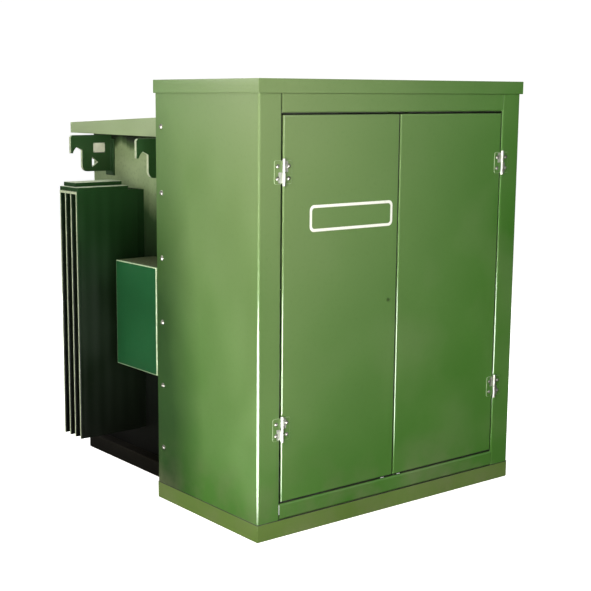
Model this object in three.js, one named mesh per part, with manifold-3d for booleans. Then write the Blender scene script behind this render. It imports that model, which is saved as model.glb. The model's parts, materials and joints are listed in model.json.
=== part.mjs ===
// Pad-mounted distribution transformer, millimetres, +Z up.
// The front (doors) faces -Y, the oil tank stands behind the terminal cabinet, the unit rests on z = 0.
import * as THREE from 'three';
import { mergeVertices } from 'three/addons/utils/BufferGeometryUtils.js';
import Module from 'manifold-3d';

const wasm = await Module();
wasm.setup();

// ---------------------------------------------------------------- driving dimensions
const cabinetWidth = 1390;
const cabinetDepth = 680;
const bodyHeight = 1600;
const plinthHeight = 68;
const roofSkirt = 52;
const roofOverhang = 8;
const sheet = 3;
const bendRadius = 9;
const seat = 0.3; // gap left between pieces that rest on each other
const stileWidth = 106;
const topRailHeight = 71;
const bottomRailHeight = 63;
const rearReturn = 30;
const stileReturn = 34;

const doorGap = 7;
const doorDepth = 28;
const stopLip = 15;

const barrelRadius = 7;
const pinRadius = 4;
const pinClearance = 0.09;
const pinShort = 4; // the pin ends this far below the top of its knuckle
const hingeLength = 100;
const hingeLeafWidth = 33;
const hingeLeafHeight = 86;
const leafThickness = 3;
const upperHingeDrop = 283; // below the top of the body
const lowerHingeHeight = 357; // above the plinth

const tankWidth = 1000;
const tankDepth = 825;
const tankWall = 6;
const tankTopFlange = 50;
const tankDrop = 169.7; // from the top of the cabinet's body down to the tank's top flange
const baseFlangeOut = 50;
const coverSide = 76;
const coverRear = 80;
const coverSkirtDrop = 10; // how far the skirt hangs below the tank's top flange
const coverRearHeight = 48;
const coverFrontHeight = 88;
const gasketThickness = 6;
const lidThickness = 8;

const hookPlate = 16;
const hookReach = 209;
const hookHeight = 162;
const hookFrontSetback = 125;
const hookRearSetback = 672;
const hookPadThickness = 8;
const hookPadWidth = 70;

const finCount = 4;
const finPitch = 46;
const finThickness = 11;
const finWidth = 305;
const finDrop = 240.3; // from the tank's top flange down to the fins
const finBottom = 183;
const finSetback = 395;
const collectorWidth = 34;
const headerHeight = 17;

const boxHeight = 450;
const boxBottom = 517;
const boxDepth = 314;
const boxWall = 3;
const boxLidInset = 10;
const boxLidDepth = 14;
const boxFrontGap = 2;

const hvPitch = 140;
const lvPitch = 112;
const fusePitch = 120;
const limbPitch = 290;
const limbWidth = 120;
const coreDepth = 160;
const yokeHeight = 130;
const coreHeadroom = 470; // tank height that the core leaves free
const windingInner = 104;
const windingOuter = 138;

// ---------------------------------------------------------------- derived places
const halfWidth = cabinetWidth / 2;
const openingHalf = halfWidth - stileWidth;
const openingBottom = plinthHeight + bottomRailHeight;
const bodyTop = plinthHeight + bodyHeight;
const openingTop = bodyTop - topRailHeight;
const doorWidth = openingHalf - doorGap * 1.5;
const doorHeight = openingTop - openingBottom - 2 * doorGap;
const doorBottom = openingBottom + doorGap;
const roofTop = bodyTop + roofSkirt;
const panelTop = roofTop - sheet - seat;
const tankFront = cabinetDepth + seat;
const tankRear = tankFront + tankDepth;
const tankBottom = plinthHeight + seat;
const tankTop = bodyTop - tankDrop;
const tankHeight = tankTop - tankBottom;
const finHeight = tankTop - finDrop - finBottom;
const coreHeight = tankHeight - coreHeadroom;
const tankHalf = tankWidth / 2;
const coverBottom = tankTop - coverSkirtDrop;
const hingeAxisX = openingHalf - doorGap / 2;
const hingeAxisY = -barrelRadius - 1;
const frontFace = hingeAxisY - barrelRadius;
const rearFace = tankRear + coverRear;
const wallInner = tankFront + tankWall;

// ---------------------------------------------------------------- materials
function finish(color, roughness, metalness) {
  return new THREE.MeshStandardMaterial({ color, roughness, metalness });
}

const greenPaint = finish(0x4e7d3a, 0.4, 0.2);
const darkPaint = finish(0x2b4327, 0.5, 0.2);
const blackPaint = finish(0x1b1b19, 0.6, 0.2);
const boxPaint = finish(0x24603a, 0.4, 0.2);
const zincSteel = finish(0xb9bab2, 0.35, 0.9);
const brownEpoxy = finish(0x6a3524, 0.3, 0.0);
const greyEpoxy = finish(0x4a4f55, 0.45, 0.0);
const blackPlastic = finish(0x202022, 0.5, 0.0);
const rubber = finish(0x171717, 0.8, 0.0);
const coreSteel = finish(0x70757a, 0.5, 0.8);
const windingPaper = finish(0xb08a58, 0.8, 0.0);
const brassMetal = finish(0xb08d45, 0.35, 0.9);
const dialWhite = finish(0xe8e6dc, 0.4, 0.0);

// ---------------------------------------------------------------- solid helpers
function toSolid(geometry) {
  const bare = geometry.clone();
  bare.deleteAttribute('normal');
  bare.deleteAttribute('uv');
  const merged = mergeVertices(bare, 1e-4);
  return new wasm.Manifold(new wasm.Mesh({
    numProp: 3,
    vertProperties: new Float32Array(merged.attributes.position.array),
    triVerts: new Uint32Array(merged.index.array),
  }));
}

function toGeometry(solid) {
  const mesh = solid.getMesh();
  const geometry = new THREE.BufferGeometry();
  geometry.setAttribute('position', new THREE.BufferAttribute(new Float32Array(mesh.vertProperties), 3));
  geometry.setIndex(new THREE.BufferAttribute(new Uint32Array(mesh.triVerts), 1));
  geometry.computeVertexNormals();
  return geometry;
}

// A block between two opposite corners.
function block(low, high) {
  const size = high.map((value, axis) => value - low[axis]);
  const geometry = new THREE.BoxGeometry(...size);
  geometry.translate(...low.map((value, axis) => value + size[axis] / 2));
  return toSolid(geometry);
}

// A round bar along axis 'x', 'y' or 'z' from one end point.
function bar(axis, radius, length, start, sides = 16) {
  const geometry = new THREE.CylinderGeometry(radius, radius, length, sides);
  geometry.translate(0, length / 2, 0);
  if (axis === 'z') {
    geometry.rotateX(Math.PI / 2);
  }
  if (axis === 'x') {
    geometry.rotateZ(-Math.PI / 2);
  }
  geometry.translate(...start);
  return toSolid(geometry);
}

function join(first, ...others) {
  return others.reduce((whole, next) => whole.add(next), first);
}

function cut(first, ...others) {
  return others.reduce((whole, next) => whole.subtract(next), first);
}

function outline(points) {
  return new THREE.Shape(points.map(([x, y]) => new THREE.Vector2(x, y)));
}

function extrude(points, length) {
  return new THREE.ExtrudeGeometry(outline(points), { depth: length, bevelEnabled: false });
}

// Turned pieces: the profile is [radius, height] and starts and ends on the axis; the axis becomes -Y.
function turnedTowardsFront(profile, sides = 20) {
  const geometry = new THREE.LatheGeometry(profile.map(([r, h]) => new THREE.Vector2(r, h)), sides);
  geometry.rotateX(Math.PI);
  return toSolid(geometry);
}

// Outline of a folded sheet: corners run along its outer face with the material on their left,
// and every bend turns left with the same outside radius.
function foldedOutline(corners, thickness, radius, steps = 5) {
  const outer = [];
  const inner = [];
  const leftOf = (d) => new THREE.Vector2(-d.y, d.x);
  const nodes = corners.map(([x, y]) => new THREE.Vector2(x, y));
  const heading = nodes.slice(1).map((node, i) => node.clone().sub(nodes[i]).normalize());
  outer.push(nodes[0].clone());
  inner.push(nodes[0].clone().addScaledVector(leftOf(heading[0]), thickness));
  for (let i = 1; i < nodes.length - 1; i += 1) {
    const before = leftOf(heading[i - 1]);
    const after = leftOf(heading[i]);
    const centre = nodes[i].clone().addScaledVector(before, radius).addScaledVector(after, radius);
    for (let k = 0; k <= steps; k += 1) {
      const turn = (k / steps) * (Math.PI / 2);
      const spoke = before.clone().multiplyScalar(-Math.cos(turn)).addScaledVector(after, -Math.sin(turn));
      outer.push(centre.clone().addScaledVector(spoke, radius));
      inner.push(centre.clone().addScaledVector(spoke, radius - thickness));
    }
  }
  const last = heading.length - 1;
  outer.push(nodes[nodes.length - 1].clone());
  inner.push(nodes[nodes.length - 1].clone().addScaledVector(leftOf(heading[last]), thickness));
  return [...outer, ...inner.reverse()].map((p) => [p.x, p.y]);
}

// Turns an extrusion drawn in (y, z) so that it runs along X.
function alongX(geometry, startX) {
  const basis = new THREE.Matrix4().makeBasis(
    new THREE.Vector3(0, 1, 0),
    new THREE.Vector3(0, 0, 1),
    new THREE.Vector3(1, 0, 0),
  );
  geometry.applyMatrix4(basis);
  geometry.translate(startX, 0, 0);
  return geometry;
}

// Turns an extrusion drawn in (x, z) so that it is `depth` thick along Y, centred on y = 0.
function facingFront(geometry, depth) {
  geometry.rotateX(Math.PI / 2);
  geometry.translate(0, depth / 2, 0);
  return geometry;
}

function mirroredInX(geometry) {
  const copy = geometry.clone();
  copy.scale(-1, 1, 1);
  const index = copy.index.array;
  for (let i = 0; i < index.length; i += 3) {
    [index[i], index[i + 1]] = [index[i + 1], index[i]];
  }
  copy.computeVertexNormals();
  return copy;
}

// A ring of channel section lying flat, open towards its middle.
function channelRing(low, high, flange, wall) {
  const whole = block(low, high);
  const middle = block(
    [low[0] + flange, low[1] + flange, low[2] - 1],
    [high[0] - flange, high[1] - flange, high[2] + 1],
  );
  const groove = block(low.map((v) => v + wall), high.map((v) => v - wall));
  return cut(whole, middle, groove);
}

const unit = new THREE.Group();

function place(name, solid, material, position = [0, 0, 0], mirrored = false) {
  const plain = toGeometry(solid);
  const mesh = new THREE.Mesh(mirrored ? mirroredInX(plain) : plain, material);
  mesh.name = name;
  mesh.position.set(...position);
  unit.add(mesh);
  return mesh;
}

const sides = [['left', false], ['right', true]];

// ---------------------------------------------------------------- base frames
function addBases() {
  const channelFlange = 50;
  const channelWall = 5;
  place('base_plinth', channelRing(
    [-halfWidth, 0, 0], [halfWidth, cabinetDepth, plinthHeight], channelFlange, channelWall,
  ), darkPaint);
  const outerX = tankHalf + baseFlangeOut;
  place('tank_base', channelRing(
    [-outerX, tankFront, 0], [outerX, tankRear, plinthHeight], channelFlange + baseFlangeOut, channelWall,
  ), blackPaint);
}

// ---------------------------------------------------------------- cabinet shell
function addSidePanels() {
  const bottom = plinthHeight + seat;
  const corners = [
    [-halfWidth + rearReturn, cabinetDepth],
    [-halfWidth, cabinetDepth],
    [-halfWidth, 0],
    [-openingHalf, 0],
    [-openingHalf, stileReturn],
  ];
  const panel = extrude(foldedOutline(corners, sheet, bendRadius), panelTop - bottom);
  panel.translate(0, 0, bottom);
  for (const [side, mirrored] of sides) {
    place(`side_panel_${side}`, toSolid(panel), greenPaint, [0, 0, 0], mirrored);
  }
}

const rodX = 45; // the bolt rods run this far from the middle of the front
const rodWidth = 20;
const rodThickness = 6;
const rodY = 15;
const rodSlack = 2;

// The space that a bolt rod at x needs between two heights.
function rodSlot(x, from, to) {
  const half = rodWidth / 2 + rodSlack;
  const depth = rodThickness / 2 + rodSlack;
  return block([x - half, rodY - depth, from], [x + half, rodY + depth, to]);
}

function railSlots(z) {
  return [-rodX, rodX].map((x) => rodSlot(x, z - 2 * sheet, z + 2 * sheet));
}

function addRails() {
  const railHalf = openingHalf - seat;
  const doorFlange = 60;
  const hiddenFlange = 40;
  const stopY = doorDepth + 4;
  const railBottom = plinthHeight + seat;
  const top = foldedOutline([
    [hiddenFlange, panelTop], [0, panelTop], [0, openingTop], [doorFlange, openingTop],
  ], sheet, bendRadius);
  const bottom = foldedOutline([
    [doorFlange, openingBottom], [0, openingBottom], [0, railBottom], [hiddenFlange, railBottom],
  ], sheet, bendRadius);
  const stop = (low, high) => block([-railHalf, stopY, low], [railHalf, stopY + sheet, high]);
  const topStop = stop(openingTop - stopLip, openingTop + 1);
  const bottomStop = stop(openingBottom - 1, openingBottom + stopLip);
  const topRail = toSolid(alongX(extrude(top, 2 * railHalf), -railHalf));
  const bottomRail = toSolid(alongX(extrude(bottom, 2 * railHalf), -railHalf));
  place('top_rail', cut(join(topRail, topStop), ...railSlots(openingTop)), greenPaint);
  place('bottom_rail', cut(join(bottomRail, bottomStop), ...railSlots(openingBottom)), greenPaint);
}

function addRoof() {
  const low = [-halfWidth - roofOverhang, -roofOverhang, bodyTop];
  const high = [halfWidth + roofOverhang, cabinetDepth, roofTop];
  const hollow = block(
    [low[0] + sheet, low[1] + sheet, low[2] - 1],
    [high[0] - sheet, high[1] + 1, high[2] - sheet],
  );
  place('roof_cap', cut(block(low, high), hollow), greenPaint);
}

function addRearPanel() {
  const half = halfWidth - bendRadius - seat;
  const backY = cabinetDepth - sheet - seat;
  const overlap = 25;
  const plate = block([-half, backY - sheet, plinthHeight + seat], [half, backY, panelTop]);
  const opening = block(
    [-tankHalf + overlap, backY - 2 * sheet, openingBottom],
    [tankHalf - overlap, backY + sheet, tankTop - 2 * overlap],
  );
  place('rear_panel', cut(plate, opening), greenPaint);
}

// ---------------------------------------------------------------- doors
const lockBarrel = 7.5;
const lockSlack = 0.5;
const guideInset = 50;
const guideReach = 260;

function addDoors() {
  const meeting = doorGap / 2;
  const hingeEdge = meeting + doorWidth;
  const path = [[-hingeEdge, doorDepth], [-hingeEdge, 0], [-meeting, 0], [-meeting, doorDepth]];
  const folded = foldedOutline(path, sheet, bendRadius);
  const whole = toSolid(extrude(folded.slice(0, folded.length / 2), doorHeight));
  const hollow = block(
    [-hingeEdge + sheet, sheet, sheet],
    [-meeting - sheet, doorDepth + 1, doorHeight - sheet],
  );
  const pan = cut(whole, hollow);
  const middleX = -(meeting + hingeEdge) / 2;
  const stiffenerWidth = 80;
  const stiffenerMargin = 30;
  const channel = foldedOutline([
    [middleX + stiffenerWidth / 2, sheet + seat],
    [middleX + stiffenerWidth / 2, doorDepth - sheet],
    [middleX - stiffenerWidth / 2, doorDepth - sheet],
    [middleX - stiffenerWidth / 2, sheet + seat],
  ], 2, 4);
  const stiffener = extrude(channel, doorHeight - 2 * stiffenerMargin);
  stiffener.translate(0, 0, stiffenerMargin);
  const spindle = bar('y', lockBarrel + lockSlack, 4 * sheet, [-rodX, -sheet, doorHeight / 2]);
  const guideHalf = rodWidth / 2 + 8;
  const guideRise = 8;
  const guideDepth = rodY + rodThickness / 2 + rodSlack + sheet;
  const guide = (z) => block(
    [-rodX - guideHalf, sheet / 2, z - guideRise],
    [-rodX + guideHalf, guideDepth, z + guideRise],
  );
  const guideHeights = [guideInset, guideReach, doorHeight - guideReach, doorHeight - guideInset];
  const guided = cut(join(pan, ...guideHeights.map(guide)), rodSlot(-rodX, -1, doorHeight + 1));
  const doors = [['left', false, cut(guided, spindle)], ['right', true, guided]];
  for (const [side, mirrored, solid] of doors) {
    place(`door_${side}`, solid, greenPaint, [0, 0, doorBottom], mirrored);
    place(`door_stiffener_${side}`, toSolid(stiffener), darkPaint, [0, 0, doorBottom], mirrored);
  }
}

// ---------------------------------------------------------------- lift-off hinges
function hingeLeaf(towardsDoor) {
  const half = hingeLength / 2;
  const leafHalf = hingeLeafHeight / 2;
  const axialGap = 0.4;
  const tabGap = 2;
  const plateY = -hingeAxisY - leafThickness - seat;
  const side = towardsDoor ? 1 : -1;
  const span = (near, far) => [Math.min(side * near, side * far), Math.max(side * near, side * far)];
  const clear = barrelRadius + 1;
  const [x0, x1] = span(clear, clear + hingeLeafWidth);
  const [t0, t1] = span(0, clear + 1);
  const [z0, z1] = towardsDoor ? [axialGap / 2, half] : [-half, -axialGap / 2];
  const [tabLow, tabHigh] = towardsDoor ? [z0 + tabGap, leafHalf] : [-leafHalf, z1 - tabGap];
  const plate = block([x0, plateY, -leafHalf], [x1, plateY + leafThickness, leafHalf]);
  const tab = block([t0, plateY, tabLow], [t1, plateY + leafThickness, tabHigh]);
  const knuckle = bar('z', barrelRadius, z1 - z0, [0, 0, z0], 24);
  const body = join(plate, tab, knuckle);
  if (towardsDoor) {
    return cut(body, bar('z', pinRadius + pinClearance, half, [0, 0, -1], 24));
  }
  return join(body, bar('z', pinRadius, half - pinShort, [0, 0, -axialGap], 24));
}

function addHinges() {
  const heights = [['upper', bodyTop - upperHingeDrop], ['lower', plinthHeight + lowerHingeHeight]];
  for (const [side, mirrored] of sides) {
    const x = mirrored ? hingeAxisX : -hingeAxisX;
    for (const [level, z] of heights) {
      place(`hinge_${side}_${level}_frame_leaf`, hingeLeaf(false), zincSteel, [x, hingeAxisY, z], mirrored);
      place(`hinge_${side}_${level}_door_leaf`, hingeLeaf(true), zincSteel, [x, hingeAxisY, z], mirrored);
    }
  }
}

// ---------------------------------------------------------------- door lock and bolts
const camRadius = 34;
const camThickness = 4;
const camGap = 1;
const rodEndGap = 1;
const boltLength = 330;
const boltKnobRadius = 9;
const boltKnobLength = 26;

function addLock() {
  const middle = doorBottom + doorHeight / 2;
  const barrel = bar('y', lockBarrel, sheet + camGap + camThickness + 1, [0, 0, 0]);
  const keyway = block([-1.5, -1, -5], [1.5, 5, 5]);
  const cam = bar('y', camRadius, camThickness, [0, sheet + camGap, 0], 24);
  place('lock_cam', cut(join(barrel, cam), keyway), zincSteel, [-rodX, 0, middle]);
  const rodEnd = doorHeight / 2 - rodEndGap;
  const rodStart = camRadius + sheet;
  const rodLow = [-rodWidth / 2, rodY - rodThickness / 2];
  const rodHigh = [rodWidth / 2, rodY + rodThickness / 2];
  const rod = (from, to) => block([...rodLow, from], [...rodHigh, to]);
  place('lock_rod_upper', rod(rodStart, rodEnd), zincSteel, [-rodX, 0, middle]);
  place('lock_rod_lower', rod(-rodEnd, -rodStart), zincSteel, [-rodX, 0, middle]);
  const knob = (z) => bar('y', boltKnobRadius, boltKnobLength, [0, rodY, z]);
  const upper = join(rod(rodEnd - boltLength, rodEnd), knob(rodEnd - boltLength + rodWidth));
  const lower = join(rod(-rodEnd, boltLength - rodEnd), knob(boltLength - rodEnd - rodWidth));
  place('bolt_upper', upper, zincSteel, [rodX, 0, middle]);
  place('bolt_lower', lower, zincSteel, [rodX, 0, middle]);
}

// ---------------------------------------------------------------- tank front equipment
// Rows on the tank's front wall, as drops below its top flange, and the radius that each piece
// passes through the wall with.
const hvDrop = 518.3;
const lvDrop = 538.3;
const fuseDrop = 118.3;
const controlDrop = 298.3;
const gaugeDrop = 158.3;
const hvZ = tankTop - hvDrop;
const lvZ = tankTop - lvDrop;
const fuseZ = tankTop - fuseDrop;
const controlZ = tankTop - controlDrop;
const gaugeZ = tankTop - gaugeDrop;
const boreGap = 1;
const hvShank = 34;
const lvShank = 26;
const fuseTube = 21;
const controlShank = 12;
const gaugeShank = 15;
const hvPlaces = [0, 1, 2].map((i) => [-tankHalf + 90 + i * hvPitch, hvZ]);
const lvPlaces = [0, 1, 2, 3].map((i) => [tankHalf - 70 - i * lvPitch, lvZ]);
const fusePlaces = [0, 1, 2].map((i) => [-tankHalf + 100 + i * fusePitch, fuseZ]);
const switchPlace = [-tankHalf + 130, controlZ];
const tapPlace = [-tankHalf + 340, controlZ];
const levelPlace = [tankHalf - 110, gaugeZ];
const thermometerPlace = [tankHalf - 250, gaugeZ];
const reliefPlace = [tankHalf - 110, gaugeZ - 150];
const drainPlace = [tankHalf - 90, 200];
const platePlace = [tankHalf - 330, gaugeZ - 140];
const barrierX = -15;

function wallHoles() {
  const sizes = [
    [hvPlaces, hvShank], [lvPlaces, lvShank], [fusePlaces, fuseTube + 3],
    [[switchPlace, tapPlace], controlShank],
    [[levelPlace, thermometerPlace, reliefPlace, drainPlace], gaugeShank],
  ];
  return sizes.flatMap(([places, radius]) => places.map(
    ([x, z]) => bar('y', radius + boreGap, 4 * tankWall, [x, tankFront - tankWall, z]),
  ));
}

const bushingTail = -60; // how far a bushing reaches into the tank
const shedPitch = 14;
const shedCount = 3;
const shedRadius = 36;
const lvBody = 24;
const lvFlange = 12;
const lvFlangeRadius = 44;
const lvLength = lvFlange + shedCount * shedPitch + 20;
const hvFlangeRadius = 58;
const hvBody = 46;
const hvLength = 150;
const spadeLength = 95;
const spadeHalfHeight = 45;
const spadeThickness = 12;
const spadeHole = 7;
const spadeHolePitch = 44;

function lvProfile() {
  const profile = [
    [0, bushingTail], [lvShank, bushingTail], [lvShank, seat],
    [lvFlangeRadius, seat], [lvFlangeRadius, lvFlange],
  ];
  for (let i = 0; i < shedCount; i += 1) {
    const start = lvFlange + i * shedPitch;
    profile.push([lvBody, start + 0.5], [shedRadius, start + 4], [shedRadius, start + 8], [lvBody, start + 12]);
  }
  profile.push([lvBody - 4, lvLength], [0, lvLength]);
  return profile;
}

function addBushings() {
  const hv = turnedTowardsFront([
    [0, bushingTail], [hvShank, bushingTail], [hvShank, seat], [hvFlangeRadius, seat], [hvFlangeRadius, 10],
    [hvBody, 16], [hvBody, hvLength / 2 - 5], [hvBody - 14, hvLength / 2],
    [hvBody - 20, hvLength], [0, hvLength],
  ]);
  hvPlaces.forEach(([x, z], i) => place(`hv_bushing_${i + 1}`, hv, greyEpoxy, [x, tankFront, z]));
  const firstHole = -lvLength - 25;
  const spadeHoles = [0, 1].map(
    (row) => bar('x', spadeHole, 40, [-20, firstHole - row * spadeHolePitch, 0], 12),
  );
  const spade = cut(block(
    [-spadeThickness / 2, -lvLength - spadeLength, -spadeHalfHeight],
    [spadeThickness / 2, -lvLength + 4, spadeHalfHeight],
  ), ...spadeHoles);
  const stem = bar('y', spadeThickness + 4, 12, [0, -lvLength - 4, 0]);
  const lv = join(turnedTowardsFront(lvProfile()), stem, spade);
  lvPlaces.forEach(([x, z], i) => place(`lv_bushing_${i + 1}`, lv, brownEpoxy, [x, tankFront, z]));
}

const fuseTubeLength = 90;
const fuseSocketWall = 3;
const fuseRunning = 1.5;
const carrierLength = 250;
const fuseHeadLength = 22;
const fuseEyeReach = 58;
const fuseEyeHalf = 16;
const fuseEyeHole = 9;

function addFuses() {
  const plateHalfX = fusePitch + 60;
  const plateHalfZ = 2 * (fuseTube + fuseSocketWall);
  const plateThickness = 8;
  const middle = fusePlaces[1];
  const offsets = fusePlaces.map(([x]) => x - middle[0]);
  const plate = block([-plateHalfX, -plateThickness - seat, -plateHalfZ], [plateHalfX, -seat, plateHalfZ]);
  const mouth = -fuseTubeLength - seat;
  const tubes = offsets.map((x) => bar('y', fuseTube + fuseSocketWall, fuseTubeLength, [x, mouth, 0]));
  const bores = offsets.map((x) => bar('y', fuseTube, 2 * fuseTubeLength, [x, mouth - 1, 0]));
  place('fuse_panel', cut(join(plate, ...tubes), ...bores), darkPaint, [middle[0], tankFront, middle[1]]);
  const headBack = -fuseTubeLength - 2;
  const carrier = bar('y', fuseTube - fuseRunning, carrierLength, [0, headBack, 0]);
  const head = bar('y', fuseTube + 2 * fuseSocketWall, fuseHeadLength, [0, headBack - fuseHeadLength, 0]);
  const eye = cut(
    block(
      [-fuseEyeHalf / 2, -fuseTubeLength - fuseEyeReach, -fuseEyeHalf],
      [fuseEyeHalf / 2, headBack - fuseHeadLength + 4, fuseEyeHalf],
    ),
    bar('x', fuseEyeHole, 40, [-20, -fuseTubeLength - fuseEyeReach + fuseEyeHalf - 2, 0]),
  );
  const fuse = join(carrier, head, eye);
  fusePlaces.forEach(([x, z], i) => place(`fuse_${i + 1}`, fuse, blackPlastic, [x, tankFront, z]));
}

const shaftFront = -40;
const shaftLength = 90;
const switchHubRadius = 34;
const switchHubDepth = 22;
const leverLength = 130;
const leverHalf = 11;
const leverThickness = 14;
const tapHubRadius = 38;
const tapHubDepth = 16;
const tapGripHalf = 40;
const levelRadius = 46;
const thermometerRadius = 40;
const gaugeDepth = 38;
const gaugeRim = 5;
const reliefRingY = -72;
const reliefRing = 16;
const plateHalfWidth = 105;
const plateHalfHeight = 70;
const plateThickness = 1.5;

function gaugeCase(radius) {
  return turnedTowardsFront([
    [0, shaftFront], [gaugeShank, shaftFront], [gaugeShank, 10], [radius - gaugeRim, 14], [radius, 20],
    [radius, gaugeDepth], [radius - gaugeRim, gaugeDepth], [radius - gaugeRim, gaugeDepth - gaugeRim],
    [0, gaugeDepth - gaugeRim],
  ], 24);
}

function addControls() {
  const shaft = bar('y', controlShank, shaftLength, [0, shaftFront, 0]);
  const hubFront = shaftFront + 4;
  const switchHub = bar('y', switchHubRadius, switchHubDepth, [0, hubFront, 0], 20);
  const lever = block([-leverHalf, hubFront, -leverLength], [leverHalf, hubFront + leverThickness, 0]);
  const handle = join(shaft, switchHub, lever);
  place('switch_handle', handle, blackPlastic, [switchPlace[0], tankFront, switchPlace[1]]);
  const tapHub = bar('y', tapHubRadius, tapHubDepth, [0, hubFront + 6, 0], 20);
  const grip = block([-tapGripHalf, hubFront - 10, -9], [tapGripHalf, hubFront + 8, 9]);
  place('tap_knob', join(shaft, tapHub, grip), blackPlastic, [tapPlace[0], tankFront, tapPlace[1]]);
  place('level_gauge', gaugeCase(levelRadius), dialWhite, [levelPlace[0], tankFront, levelPlace[1]]);
  place(
    'thermometer', gaugeCase(thermometerRadius), dialWhite,
    [thermometerPlace[0], tankFront, thermometerPlace[1]],
  );
  const relief = turnedTowardsFront([
    [0, -30], [gaugeShank, -30], [gaugeShank, seat], [24, seat], [24, 16], [reliefRing, 20], [reliefRing, 52],
    [9, 56], [9, -reliefRingY - 8], [0, -reliefRingY - 8],
  ]);
  const ring = cut(
    bar('x', reliefRing, 4, [-2, reliefRingY, 0]),
    bar('x', reliefRing - 5, 10, [-5, reliefRingY, 0]),
  );
  place('relief_valve', join(relief, ring), brassMetal, [reliefPlace[0], tankFront, reliefPlace[1]]);
  const plate = block(
    [-plateHalfWidth, -plateThickness - seat, -plateHalfHeight],
    [plateHalfWidth, -seat, plateHalfHeight],
  );
  place('rating_plate', plate, zincSteel, [platePlace[0], tankFront, platePlace[1]]);
}

const drainStemY = -52;
const drainStemTop = 34;
const drainBall = 26;
const drainSpout = 19;
const drainBore = 12;
const drainLever = 110;

function addDrainValve() {
  const [x, z] = drainPlace;
  const nipple = bar('y', gaugeShank, 84, [0, drainStemY + 8, 0]);
  const ball = bar('y', drainBall, 30, [0, drainStemY - 12, 0]);
  const spout = bar('y', drainSpout, 40, [0, drainStemY - 45, 0]);
  const bonnet = bar('z', drainBore - 1, drainStemTop, [0, drainStemY, 0]);
  const bore = bar('y', drainBore, 40, [0, drainStemY - 48, 0]);
  place('drain_valve', cut(join(nipple, ball, spout, bonnet), bore), brassMetal, [x, tankFront, z]);
  const handle = join(bar('z', drainBore, 8, [0, 0, 0]), block([0, -8, 0], [drainLever, 8, 4]));
  place('drain_handle', handle, zincSteel, [x, tankFront + drainStemY, z + drainStemTop + seat]);
}

function addBarrier() {
  const frontClearance = 80;
  const low = [barrierX - sheet / 2, frontClearance, openingBottom + doorGap];
  const high = [barrierX + sheet / 2, tankFront - seat, tankTop - 3 * tankTopFlange];
  place('compartment_barrier', block(low, high), darkPaint);
}

// ---------------------------------------------------------------- oil tank
const tankFloor = 8;

function addTank() {
  const outer = block([-tankHalf, tankFront, tankBottom], [tankHalf, tankRear, tankTop]);
  const inner = block(
    [-tankHalf + tankWall, wallInner, tankBottom + tankFloor],
    [tankHalf - tankWall, tankRear - tankWall, tankTop - tankFloor],
  );
  const mouthLow = [-tankHalf + tankTopFlange, tankFront + tankTopFlange, tankTop - 2 * tankFloor];
  const mouthHigh = [tankHalf - tankTopFlange, tankRear - tankTopFlange, tankTop + 1];
  place('tank_shell', cut(outer, inner, block(mouthLow, mouthHigh), ...wallHoles()), greenPaint);
  const low = tankTop + seat;
  const high = low + gasketThickness;
  const margin = 8;
  const gasket = cut(
    block([-tankHalf + margin, tankFront + margin, low], [tankHalf - margin, tankRear - margin, high]),
    block(
      [mouthLow[0] - margin, mouthLow[1] - margin, low - 1],
      [mouthHigh[0] + margin, mouthHigh[1] + margin, high + 1],
    ),
  );
  place('cover_gasket', gasket, rubber);
}

// The cover is a flat lid on the gasket under a hood whose top falls towards the rear.
function addCover() {
  const half = tankHalf + coverSide;
  const lidLow = tankTop + gasketThickness + 2 * seat;
  const lidHigh = lidLow + lidThickness;
  const frontTop = coverBottom + coverFrontHeight;
  const rearTop = coverBottom + coverRearHeight;
  const across = (points, width) => toSolid(alongX(extrude(points, 2 * width), -width));
  const whole = across([
    [tankFront, coverBottom], [rearFace, coverBottom], [rearFace, rearTop], [tankFront, frontTop],
  ], half);
  const skirt = block(
    [-half + sheet, tankFront - 1, coverBottom - 1],
    [half - sheet, rearFace - sheet, lidLow],
  );
  const rearInner = rearFace - sheet;
  const loft = across([
    [tankFront - 1, lidHigh], [rearInner, lidHigh],
    [rearInner, rearTop - sheet], [tankFront - 1, frontTop - sheet],
  ], half - sheet);
  place('tank_cover', cut(whole, skirt, loft), greenPaint);
}

// Lifting hook: u runs outwards from the tank wall, heights run down from the hook's top.
const hookLipDepth = 80;
const hookLipWidth = 11;
const hookNotchDepth = 52;
const hookShankReach = 152;
const hookCorner = 27;
const hookTopDrop = 4; // below the cover's skirt
const padDrop = 20;
const hookNotchWidth = 31;
const hookEdgeChamfer = 8;
const webWindow = [[102, -98], [71, -122], [102, -143]]; // corners of the three-sided hole

// Points of a quarter turn of a circle, from one angle to another.
function arc(centreX, centreY, radius, from, to, steps = 6) {
  return Array.from({ length: steps + 1 }, (_, i) => {
    const angle = from + ((to - from) * i) / steps;
    return [centreX + radius * Math.cos(angle), centreY + radius * Math.sin(angle)];
  });
}

function hookOutline() {
  const shankFoot = -hookHeight + hookCorner;
  return [
    [0, -hookHeight],
    ...arc(hookShankReach - hookCorner, shankFoot, hookCorner, -Math.PI / 2, 0),
    [hookShankReach, -hookNotchDepth - 14],
    [hookReach - hookNotchWidth, -hookNotchDepth],
    [hookReach - 2 * hookLipWidth, -hookNotchDepth - 8],
    [hookReach - hookLipWidth - 4, -hookNotchDepth - 18],
    [hookReach - hookLipWidth, -hookLipDepth],
    [hookReach, -hookLipDepth],
    [hookReach, -hookEdgeChamfer],
    [hookReach - hookEdgeChamfer, 0],
    [0, 0],
  ];
}

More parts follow.
